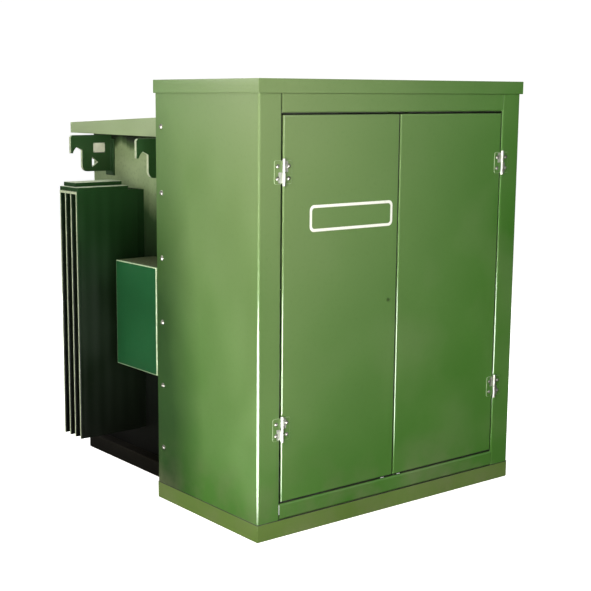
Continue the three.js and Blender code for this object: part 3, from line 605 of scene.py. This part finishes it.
def make_door(side):
    """A folded pan: rolled edges all round, open at the back."""
    low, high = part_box(f"door_{side}")
    shape = Shape().block(low, high)
    back = [f for f in shape.bm.faces if f.calc_center_median().y > high.y - 1e-5]
    bmesh.ops.delete(shape.bm, geom=back, context="FACES_ONLY")
    front = [e for e in shape.bm.edges if all(v.co.y < low.y + 1e-5 for v in e.verts)]
    bmesh.ops.bevel(shape.bm, geom=front, offset=DOOR_ROLL, segments=7, profile=0.5, affect="EDGES")
    # The pan's returns behind its rolled edge show only through the gaps and get the near-black painted
    # shade.
    pan = shape.piece(
        f"door_{side}_pan", GREEN, f"door_{side}", "green_paint", (f"door_{side}",), 60,
        GAP_SHADE, lambda polygon: polygon.center.y > low.y + DOOR_ROLL + 0.0006,
    )
    thicken = pan.modifiers.new("sheet", "SOLIDIFY")
    thicken.thickness = DOOR_SHEET
    thicken.offset = -1.0
    thicken.use_even_offset = True
    cut(pan, rod_slots(side, low, high))
    weighted(pan)
    stiffener = refined(f"door_stiffener_{side}", INNER, "dark_green_paint", 0.0006)
    stiffener.name = f"door_{side}_stiffener"
    make_rod_guides(side)
    if side == "right":
        make_meeting_seal(low, high)


def make_meeting_seal(low, high):
    """A rubber strip down the meeting edge of the right door; its black also darkens the centre gap as
    painted shade.
    """
    start = (low.x - 0.0034, low.y + 0.0085, low.z + 0.004)
    shape = Shape().block(start, (low.x - 0.0002, high.y, high.z - 0.004))
    shape.bevel(0.0008, 2).piece("meeting_seal", RUBBER, "door_right", "rubber")


def make_frame_seals():
    """Rubber strips on the four jambs, set back inside the gap round the doors and broken at the rods; their
    black also darkens the gaps as painted shade.
    """
    left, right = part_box("door_left"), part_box("door_right")
    front, back = left[0].y + 0.009, left[1].y - 0.002
    gap = 0.0068
    thickness = 0.0028
    half_break = 0.014
    shape = Shape()
    for sign in (-1, 1):
        outer = sign * (right[1].x + gap)
        inner = sign * (right[1].x + gap - thickness)
        shape.block((min(outer, inner), front, left[0].z), (max(outer, inner), back, left[1].z))
    stops = [left[0].x]
    for side, _ in SIDES:
        rod = middle_of(ROD_NODES[side]).x
        stops += [rod - half_break, rod + half_break]
    stops.append(right[1].x)
    for level, sign in ((left[0].z - gap, 1), (left[1].z + gap, -1)):
        edge = level + sign * thickness
        for start, end in zip(stops[::2], stops[1::2]):
            shape.block((start, front, min(level, edge)), (end, back, max(level, edge)))
    shape.bevel(0.0008, 2).piece("frame_seals", RUBBER, "housing", "rubber")


def rod_slots(side, low, high):
    """The tool for the slots in the upper and lower flange that the rods slide through."""
    rod_low, rod_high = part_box(ROD_NODES[side])
    start, end = rod_low.x - ROD_CLEARANCE, rod_high.x + ROD_CLEARANCE
    front, back = ROD_LOW.y - ROD_CLEARANCE, ROD_HIGH.y + ROD_CLEARANCE
    rise = 2 * DOOR_SHEET
    tool = Shape()
    for z in (low.z, high.z):
        tool.block((start, front, z - rise), (end, back, z + rise))
    return tool.piece(f"rod_slots_{side}", INNER, f"door_{side}")


def make_rod_guides(side):
    """U-shaped straps welded inside the door, round the rods."""
    low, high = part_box(f"door_{side}")
    middle = middle_of(ROD_NODES[side]).x
    half, wall, rise = 0.018, 0.0025, 0.008
    inner = low.y + DOOR_SHEET
    back = ROD_HIGH.y + ROD_CLEARANCE
    shape = Shape()
    for z in (low.z + 0.050, low.z + 0.260, high.z - 0.260, high.z - 0.050):
        for sign in (-1, 1):
            edge = middle + sign * half
            inside = edge - sign * wall
            shape.block((min(edge, inside), inner, z - rise), (max(edge, inside), back + wall, z + rise))
        shape.block((middle - half + wall, back, z - rise), (middle + half - wall, back + wall, z + rise))
    weighted(shape.bevel(0.0007, 2).piece(f"rod_guides_{side}", INNER, f"door_{side}", "green_paint"))


def make_mark():
    """A blank stencilled field where a rating would be painted."""
    half_u, half_v = 0.21065, 0.050
    centre = Vector((-0.24485, FRONT_Y - 0.0002, 1.208))
    stroke = 0.011
    outer = rounded_outline(half_u, half_v, 0.020, 6)
    inner = rounded_outline(half_u - stroke, half_v - stroke, 0.012, 6)
    shape = Shape()
    rings = [[shape.bm.verts.new(centre + Vector((u, y, v))) for u, v in ring]
             for ring, y in ((outer, 0.0), (inner, 0.0), (inner, 0.0004), (outer, 0.0004))]
    for first, second in zip(rings, rings[1:] + rings[:1]):
        for k in range(len(outer)):
            j = (k + 1) % len(outer)
            shape.bm.faces.new((first[k], first[j], second[j], second[k]))
    shape.piece("door_mark", MARK, "door_left")


# ------------------------------------------------------------------ hinges
def make_hinge(side, sign, level):
    """Painted leaves with rounded corners, a bright two-knuckle barrel, and two dome screws on each leaf."""
    thickness = 0.003
    barrel = 0.007
    half_v = 0.043
    for leaf, outward in (("frame", sign), ("door", -sign)):
        node = f"hinge_{side}_{level}_{leaf}_leaf"
        low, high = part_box(node)
        body = body_of_node(node)
        axis = Vector((low.x + barrel if outward > 0 else high.x - barrel, low.y + barrel, 0))
        edge = high.x if outward > 0 else low.x
        half_u = abs(edge - axis.x) / 2 - 0.002
        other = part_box(f"hinge_{side}_{level}_{'door' if leaf == 'frame' else 'frame'}_leaf")
        z = (max(high.z, other[1].z) + min(low.z, other[0].z)) / 2
        origin = Vector((edge - outward * half_u, high.y - thickness, z))
        shape = Shape().prism(
            rounded_outline(half_u, half_v, 0.007), origin, (1, 0, 0), (0, 0, 1), (0, thickness, 0),
        )
        # The leaf's edges get the pale painted highlight.
        weighted(shape.bevel(0.0009, 2).piece(
            f"{node}_plate", GREEN, body, "green_paint", (node,),
            second=RIM_HIGHLIGHT, where=lambda polygon: polygon.normal.y > -0.95,
        ))
        start, end = (-0.050, -0.0004) if leaf == "frame" else (0.0004, 0.050)
        ring = 0.0012
        knuckle = [(0, start), (barrel - ring, start), (barrel, start + ring), (barrel, end - ring),
                   (barrel - ring, end), (0, end)]
        strap = Shape().turned(axis + Vector((0, 0, z)), knuckle, (0, 0, 1), 40)
        strap.block(
            (min(axis.x, origin.x), high.y - thickness - 0.0003, z + min(start * 0.8, 0.003)),
            (max(axis.x, origin.x), high.y - 0.0004, z + max(end * 0.8, -0.003)),
        )
        strap.piece(f"{node}_knuckle", ZINC, body, "zinc_steel")
        screws = Shape()
        for step in (-0.0225, 0.0225):
            dome_screw(screws, (origin.x + outward * 0.003, high.y - thickness, z + step), (0, -1, 0), 0.0062)
        screws.piece(f"{node}_screws", CHROME, body, "zinc_steel")


# ------------------------------------------------------------------ lock and bolts
def make_lock():
    refined("lock_cam", ZINC, "zinc_steel", 0.0008)
    for node in ("lock_rod_upper", "lock_rod_lower", "bolt_upper", "bolt_lower"):
        refined(node, ZINC, "zinc_steel", 0.0010)


# ------------------------------------------------------------------ tank
def make_tank():
    refined("tank_shell", TANK_GREEN, "green_paint", 0.004, 4)
    refined("tank_cover", COVER_GREEN, "green_paint", 0.0014)
    refined("cover_gasket", RUBBER, "rubber", 0.001)
    refined("tank_base", BLACK_COAT, "black_paint", 0.002)


def on_a_hook_tip(polygon):
    """Cut edges of a hook's web that face away from the tank; they get the pale painted highlight."""
    turned_out = abs(polygon.normal.y) < 0.6 and abs(polygon.normal.x) > 0.45
    return turned_out and abs(polygon.center.x) > 0.52


def make_hooks():
    for side, _ in SIDES:
        for end in ("front", "rear"):
            refined(
                f"hook_{side}_{end}", DARK_GREEN, "dark_green_paint", 0.0018, 3, EDGE_HIGHLIGHT, on_a_hook_tip,
            )


def make_hook_label():
    """The small blank plate on the rear hook's web, held by four rivets."""
    low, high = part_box("hook_left_rear")
    plate_y = (low.y + high.y) / 2 - 0.008
    centre = Vector((high.x - 0.0655, plate_y, high.z - 0.057))
    half_u, half_v, thickness = 0.0295, 0.021, 0.0012
    inset = 0.003
    outline = rounded_outline(half_u, half_v, 0.002)
    shape = Shape().prism(outline, centre, (1, 0, 0), (0, 0, 1), (0, -thickness, 0))
    shape.bevel(0.0003, 2)
    shape.piece("hook_label", LABEL, "housing", "zinc_steel")
    rivets = Shape()
    for u in (inset - half_u, half_u - inset):
        for v in (inset - half_v, half_v - inset):
            dome_screw(rivets, centre + Vector((u, -thickness, v)), (0, -1, 0), 0.0016, False)
    rivets.piece("hook_label_rivets", CHROME, "housing", "zinc_steel")


# ------------------------------------------------------------------ radiators
FIN_COUNT = 4
FIN_THICKNESS = 0.011
FIN_PITCH = 0.046
COLLECTOR = 0.034
FLUTES = 5


def fin_outline(width):
    """Section of one pressed plate: shallow flutes between the seam welds, round outer edge."""
    half = FIN_THICKNESS / 2
    steps = 60
    flat = width - half
    front = []
    for k in range(steps + 1):
        u = flat * k / steps
        rim = min(u, flat - u)
        swell = 0.5 - 0.5 * math.cos(2 * math.pi * FLUTES * k / steps)
        front.append((u, half * (1.0 if rim < 0.006 else 0.86 + 0.14 * swell)))
    for k in range(1, 8):
        angle = math.pi / 2 * k / 8
        front.append((flat + half * math.sin(angle), half * math.cos(angle)))
    return [(u, -v) for u, v in front] + [(u, v) for u, v in reversed(front)]


def is_bright(polygon, sign, level):
    """Upper faces of the headers, and the ends of the bar across the plates; they get the pale painted
    highlight.
    """
    bar_end = sign * polygon.normal.x > 0.6 and level - 0.013 < polygon.center.z < level
    return bar_end or (polygon.normal.z > 0.3 and polygon.center.z > level)


def make_radiator(side, sign):
    low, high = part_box(f"radiator_{side}")
    wall = low.x if sign > 0 else high.x
    outer = high.x if sign > 0 else low.x
    front = low.y + FIN_THICKNESS / 2
    fin_top = high.z - 0.034
    width = abs(outer - wall) - COLLECTOR
    body = "housing"
    tip = abs(outer) - FIN_THICKNESS / 10
    # The rear plates take the near-black painted shade; the outer tips of all plates get the pale painted
    # highlight.
    for name, paint, count in (("front", FIN_GREEN, (0,)), ("rear", FIN_PAINTED_SHADE, range(1, FIN_COUNT))):
        fins = Shape()
        for i in count:
            origin = (wall + sign * COLLECTOR, front + i * FIN_PITCH, low.z)
            fins.prism(fin_outline(width), origin, (sign, 0, 0), (0, 1, 0), (0, 0, fin_top - low.z))
        fins.piece(
            f"radiator_{side}_{name}_plates", paint, body, "dark_green_paint", (f"radiator_{side}",), 50,
            EDGE_HIGHLIGHT, lambda polygon: abs(polygon.center.x) > tip and abs(polygon.normal.x) > 0.5,
        )
    rear = front + (FIN_COUNT - 1) * FIN_PITCH
    headers = Shape()

    def run(u0, u1, y0, y1, z0, z1):
        """A bar between two distances from the tank wall."""
        xs = sorted((wall + sign * u0, wall + sign * u1))
        headers.block((xs[0], y0, z0), (xs[1], y1, z1))

    run(0.0003, COLLECTOR - 0.0015, front + 0.0010, rear + 0.0020, low.z, fin_top - 0.004)
    run(0.084, COLLECTOR + width - 0.003, front - 0.0055, rear + 0.0055, fin_top - 0.001, fin_top + 0.0165)
    run(0.088, COLLECTOR + width - 0.022, front + FIN_PITCH - 0.0055, rear + 0.0055, fin_top + 0.017, high.z)
    run(0.040, COLLECTOR + width - 0.0005, front - 0.0050, rear + 0.0050, fin_top - 0.012, fin_top - 0.0015)
    weighted(headers.bevel(0.0018, 3).piece(
        f"radiator_{side}_headers", FIN_GREEN, body, "dark_green_paint",
        second=EDGE_HIGHLIGHT, where=lambda polygon: is_bright(polygon, sign, fin_top),
    ))


# ------------------------------------------------------------------ side box
def make_side_box():
    # The box's upward faces and the lid's rims get the pale painted highlight.
    refined("side_box", TEAL, "teal_green_paint", 0.0015, 3, TOP_HIGHLIGHT, lambda polygon: polygon.normal.z > 0.6)
    refined("side_box_lid", TEAL, "teal_green_paint", 0.0042, 3, RIM_HIGHLIGHT, on_a_rim)


# ------------------------------------------------------------------ equipment behind the doors
BUSHING_TAIL = 0.060


def bushing_seat(node):
    """The point on a bushing's axis where its flange meets the tank wall."""
    low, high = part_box(node)
    return Vector(((low.x + high.x) / 2, high.y - BUSHING_TAIL, (low.z + high.z) / 2))


def make_bushings():
    for i in (1, 2, 3):
        node = f"hv_bushing_{i}"
        centre = bushing_seat(node)
        shape = Shape().turned(centre, [
            (0, -BUSHING_TAIL), (0.033, -BUSHING_TAIL), (0.034, -0.058), (0.034, 0.0003),
            (0.058, 0.0003), (0.058, 0.008),
            (0.0565, 0.010), (0.048, 0.015), (0.046, 0.018), (0.046, 0.067), (0.045, 0.070), (0.034, 0.0735),
            (0.032, 0.076), (0.0265, 0.147), (0.024, 0.150), (0.010, 0.150), (0.010, 0.143), (0, 0.143),
        ])
        shape.piece(f"{node}_skin", GREY_EPOXY, "housing", "grey_epoxy", (node,), 30)
        make_flange_bolts(f"{node}_bolts", centre, 0.051)
    for i in (1, 2, 3, 4):
        node = f"lv_bushing_{i}"
        centre = bushing_seat(node)
        sheds = []
        for k in range(3):
            start = 0.012 + 0.014 * k
            sheds += [(0.024, start + 0.0005), (0.034, start + 0.003), (0.036, start + 0.0045),
                      (0.036, start + 0.0070), (0.034, start + 0.0085), (0.024, start + 0.012)]
        shape = Shape().turned(centre, [
            (0, -BUSHING_TAIL), (0.026, -BUSHING_TAIL), (0.026, 0.0003),
            (0.044, 0.0003), (0.044, 0.010), (0.042, 0.012),
            *sheds, (0.022, 0.072), (0.020, 0.074), (0, 0.074),
        ])
        shape.piece(f"{node}_skin", BROWN_EPOXY, "housing", "brown_epoxy", (node,), 40)
        make_spade(f"{node}_spade", centre)


def make_flange_bolts(name, centre, circle):
    shape = Shape()
    for k in range(4):
        angle = math.pi / 4 + math.pi / 2 * k
        place = centre + Vector((circle * math.cos(angle), -0.0085, circle * math.sin(angle)))
        dome_screw(shape, place, (0, -1, 0), 0.0045, False)
    shape.piece(name, ZINC, "housing", "zinc_steel")


def make_spade(name, centre):
    """Tinned terminal spade with two bolt holes, on its round stem."""
    start, end, half_v, thickness = 0.078, 0.169, 0.045, 0.012
    hole, places = 0.007, (0.099, 0.143)
    stem = [(0, 0.070), (0.016, 0.070), (0.016, 0.086), (0.0145, 0.0875), (0, 0.0875)]
    shape = Shape().turned(centre, stem)
    outline = rounded_outline((end - start) / 2, half_v, 0.008)
    middle = (start + end) / 2
    blade = Shape().prism(
        outline, centre + Vector((-thickness / 2, -middle, 0)), (0, -1, 0), (0, 0, 1), (thickness, 0, 0),
    )
    blade.bevel(0.001, 2)
    body = blade.piece(f"{name}_blade", ZINC, "housing", "zinc_steel")
    bit = [(0, -0.02), (hole, -0.02), (hole, 0.02), (0, 0.02)]
    drill = Shape()
    for place in places:
        drill.turned(centre + Vector((0, -place, 0)), bit, (1, 0, 0), 28)
    tool = drill.piece(f"{name}_drill", ZINC, "housing")
    cut(body, tool)
    shape.piece(f"{name}_stem", ZINC, "housing", "zinc_steel")


def cut(piece, tool):
    """Takes the tool's shape out of the piece for good and throws the tool away."""
    modifier = piece.modifiers.new("cut", "BOOLEAN")
    modifier.operation = "DIFFERENCE"
    modifier.object = tool
    modifier.solver = "EXACT"
    made = bpy.data.meshes.new_from_object(piece.evaluated_get(bpy.context.evaluated_depsgraph_get()))
    piece.modifiers.clear()
    piece.data = made
    made.set_sharp_from_angle(angle=math.radians(40))
    bpy.data.objects.remove(tool)


def make_fuses():
    refined("fuse_panel", DARK_GREEN, "dark_green_paint", 0.001)
    for i in (1, 2, 3):
        node = f"fuse_{i}"
        low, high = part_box(node)
        body = body_of_node(node)
        centre = Vector(((low.x + high.x) / 2, low.y, (low.z + high.z) / 2))
        back = -(high.y - low.y)
        shape = Shape().turned(centre, [
            (0, back), (0.018, back), (0.0195, back + 0.0015), (0.0195, -0.056), (0.025, -0.056),
            (0.027, -0.054), (0.027, -0.044), (0.0255, -0.042), (0.0255, -0.040), (0.027, -0.038),
            (0.027, -0.035), (0.024, -0.034), (0, -0.034),
        ])
        shape.piece(f"{node}_carrier", BLACK_PLASTIC, body, "black_plastic", (node,), 40)
        eye = Shape()
        turn = [2 * math.pi * k / 14 for k in range(14)]
        ring = [(0.0090 + 0.0035 * (1 - math.cos(a)), 0.0065 * math.sin(a)) for a in turn]
        eye.turned(centre + Vector((0, 0.0162, 0)), ring, (1, 0, 0), 40)
        eye.block(centre + Vector((-0.005, 0.026, -0.009)), centre + Vector((0.005, 0.036, 0.009)))
        eye.piece(f"{node}_eye", BRASS, body, "brass")


def make_controls():
    refined("switch_handle", BLACK_PLASTIC, "black_plastic", 0.002, 4)
    refined("tap_knob", BLACK_PLASTIC, "black_plastic", 0.002, 4)
    for node, needle_angle in (("level_gauge", 0.6), ("thermometer", -0.7)):
        make_gauge(node, needle_angle)
    refined("relief_valve", BRASS, "brass", 0.0006, 2)
    refined("rating_plate", LABEL, "zinc_steel", 0.0004, 2)
    refined("drain_valve", BRASS, "brass", 0.0012, 3)
    refined("drain_handle", ZINC, "zinc_steel", 0.0012, 3)


def make_gauge(node, needle_angle):
    """A round dial: case, white face, tick marks, needle and glass."""
    low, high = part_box(node)
    radius = (high.x - low.x) / 2
    centre = Vector(((low.x + high.x) / 2, low.y + 0.038, (low.z + high.z) / 2))
    case = Shape().turned(centre, [
        (0, -0.040), (0.015, -0.040), (0.015, 0.010), (radius - 0.006, 0.013), (radius - 0.001, 0.018),
        (radius, 0.021), (radius, 0.036), (radius - 0.0015, 0.038), (radius - 0.0045, 0.038),
        (radius - 0.0050, 0.036), (radius - 0.0050, 0.033), (0, 0.033),
    ], segments=64)
    case.piece(f"{node}_case", DIAL, "housing", "dial_white", (node,), 40)
    ticks = Shape()
    face = centre + Vector((0, -0.0331, 0))

    def stroke(angle, inner, outer, half_width, front):
        along = Vector((math.sin(angle), 0, math.cos(angle)))
        across = Vector((math.cos(angle), 0, -math.sin(angle)))
        ticks.prism(
            [(inner, -half_width), (outer, -half_width), (outer, half_width), (inner, half_width)],
            face, along, across, (0, -front, 0),
        )

    for k in range(11):
        stroke(math.radians(-120 + 24 * k), radius * 0.66, radius * 0.80, 0.0007 if k % 5 else 0.0013, 0.0004)
    stroke(needle_angle, -radius * 0.18, radius * 0.60, 0.0011, 0.0012)
    ticks.turned(face, [(0, 0), (0.004, 0), (0.004, 0.0016), (0.003, 0.002), (0, 0.002)], segments=24)
    ticks.piece(f"{node}_needle", BLACK_PLASTIC, "housing", "black_plastic")
    pane = Shape().turned(
        centre, [(0, 0.0362), (radius - 0.0052, 0.0362), (radius - 0.0052, 0.0376), (0, 0.0376)], segments=64,
    )
    pane.piece(f"{node}_glass", GLASS, "housing")


def make_core():
    refined("core", CORE, "core_steel", 0.001, 2)
    for i in (1, 2, 3):
        node = f"winding_{i}"
        low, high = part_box(node)
        centre = middle_of(node)
        outer = (high.x - low.x) / 2
        inner = outer - 0.034
        half = (high.z - low.z) / 2
        shape = Shape().turned(centre, [
            (inner, -half), (outer - 0.003, -half), (outer, -half + 0.003), (outer, half - 0.003),
            (outer - 0.003, half), (inner, half),
        ], (0, 0, 1), 72)
        shape.piece(f"{node}_wrap", WINDING, "housing", "winding", (node,), 40)


# ------------------------------------------------------------------ stage and light
FIELD_GLOW = 26.0
FIELD_CENTRE = (-3.1, -2.3, 0.0)


def make_floor():
    """Plain white to the eye; to reflections, dark with a bright field before the left corner."""
    shade = Shader("floor", roughness=0.9)
    eye = shade.tree.nodes.new("ShaderNodeLightPath").outputs["Is Camera Ray"]
    gloss = shade.tree.nodes.new("ShaderNodeLightPath").outputs["Is Glossy Ray"]
    cloud = shade.spread(shade.noise(1.0), 0.3, 0.7, 0.98, 1.0)
    tone = shade.blend(cloud, (0.93, 0.93, 0.93), (0.95, 0.95, 0.95))
    shade.colour(shade.blend(eye, (0.10, 0.10, 0.09), tone))
    field = shade.reach(FIELD_CENTRE, 2.35, 2.70)
    shade.surface.inputs["Emission Color"].default_value = (1, 1, 1, 1)
    glow = shade.tree.nodes.new("ShaderNodeMath")
    glow.operation = "MULTIPLY_ADD"
    shade.link(shade.product(gloss, field), glow.inputs[0])
    glow.inputs[1].default_value = FIELD_GLOW
    shade.link(shade.spread(eye, 0.0, 1.0, 0.0, 0.75), glow.inputs[2])
    shade.link(glow.outputs[0], shade.surface.inputs["Emission Strength"])
    bm = bmesh.new()
    bmesh.ops.create_circle(bm, cap_ends=True, segments=96, radius=60.0)
    mesh = bpy.data.meshes.new("floor")
    bm.to_mesh(mesh)
    bm.free()
    mesh.materials.append(shade.material)
    floor = bpy.data.objects.new("floor", mesh)
    floor.location.z = -0.001
    bpy.context.scene.collection.objects.link(floor)


def make_world():
    """White behind the object; a dimmer room, brightest at the horizon, for light and reflections."""
    world = bpy.data.worlds.new("room")
    world.use_nodes = True
    bpy.context.scene.world = world
    tree = world.node_tree
    room = tree.nodes["Background"]
    ramp = tree.nodes.new("ShaderNodeValToRGB")
    split = tree.nodes.new("ShaderNodeSeparateXYZ")
    coordinate = tree.nodes.new("ShaderNodeTexCoord")
    tree.links.new(coordinate.outputs["Generated"], split.inputs[0])
    tree.links.new(split.outputs["Z"], ramp.inputs[0])
    ramp.color_ramp.elements[0].color = (0.62, 0.60, 0.52, 1)
    ramp.color_ramp.elements[1].color = (0.42, 0.44, 0.46, 1)
    ramp.color_ramp.elements[1].position = 0.6
    tree.links.new(ramp.outputs[0], room.inputs["Color"])
    room.inputs["Strength"].default_value = 0.62
    white = tree.nodes.new("ShaderNodeBackground")
    white.inputs["Color"].default_value = (1, 1, 1, 1)
    white.inputs["Strength"].default_value = 1.05
    choose = tree.nodes.new("ShaderNodeMixShader")
    path = tree.nodes.new("ShaderNodeLightPath")
    tree.links.new(path.outputs["Is Camera Ray"], choose.inputs[0])
    tree.links.new(room.outputs[0], choose.inputs[1])
    tree.links.new(white.outputs[0], choose.inputs[2])
    tree.links.new(choose.outputs[0], tree.nodes["World Output"].inputs[0])


def area_light(name, place, aim, size, power, tone=(1, 1, 1), diffuse=True, glossy=True):
    data = bpy.data.lights.new(name, "AREA")
    data.shape = "RECTANGLE"
    data.size, data.size_y = size
    data.energy = power
    data.color = tone
    light = bpy.data.objects.new(name, data)
    light.location = place
    light.rotation_mode = "QUATERNION"
    light.rotation_quaternion = (Vector(aim) - Vector(place)).to_track_quat("-Z", "Y")
    light.visible_diffuse = diffuse
    light.visible_glossy = glossy
    bpy.context.scene.collection.objects.link(light)


def make_lights():
    left = ((-3.9, -2.9, 1.5), (-0.7, -0.8, 1.2), (1.2, 2.3))
    warm = (1.0, 0.94, 0.78)
    area_light("left_key", *left, 205, warm, glossy=False)
    area_light("left_key_sheen", *left, 110, warm, diffuse=False)
    area_light("front_key", (-1.0, -5.2, 3.2), (0.0, -0.8, 0.9), (2.4, 2.0), 125, (1.0, 1.0, 0.95))
    area_light("left_rear_sheen", (-4.6, 3.4, 2.6), (-0.7, 0.2, 1.3), (2.6, 1.6), 110, (1.0, 0.99, 0.92))
    area_light("rear_fill", (1.6, 4.6, 2.2), (0.1, 0.5, 0.7), (3.2, 2.6), 260, glossy=False)
    area_light("overhead", (-0.6, 0.2, 5.2), (0, 0, 1.0), (3.0, 3.0), 110)


# ------------------------------------------------------------------ build
make_camera()
make_world()
make_lights()
make_floor()
make_cabinet()
make_side_screws()
make_plinth_seal()
for side_name, side_sign in SIDES:
    make_door(side_name)
    make_radiator(side_name, side_sign)
    for level_name in ("upper", "lower"):
        make_hinge(side_name, side_sign, level_name)
make_frame_seals()
make_mark()
make_lock()
make_tank()
make_hooks()
make_hook_label()
make_side_box()
make_bushings()
make_fuses()
make_controls()
make_core()
bpy.context.scene.view_settings.view_transform = "Standard"
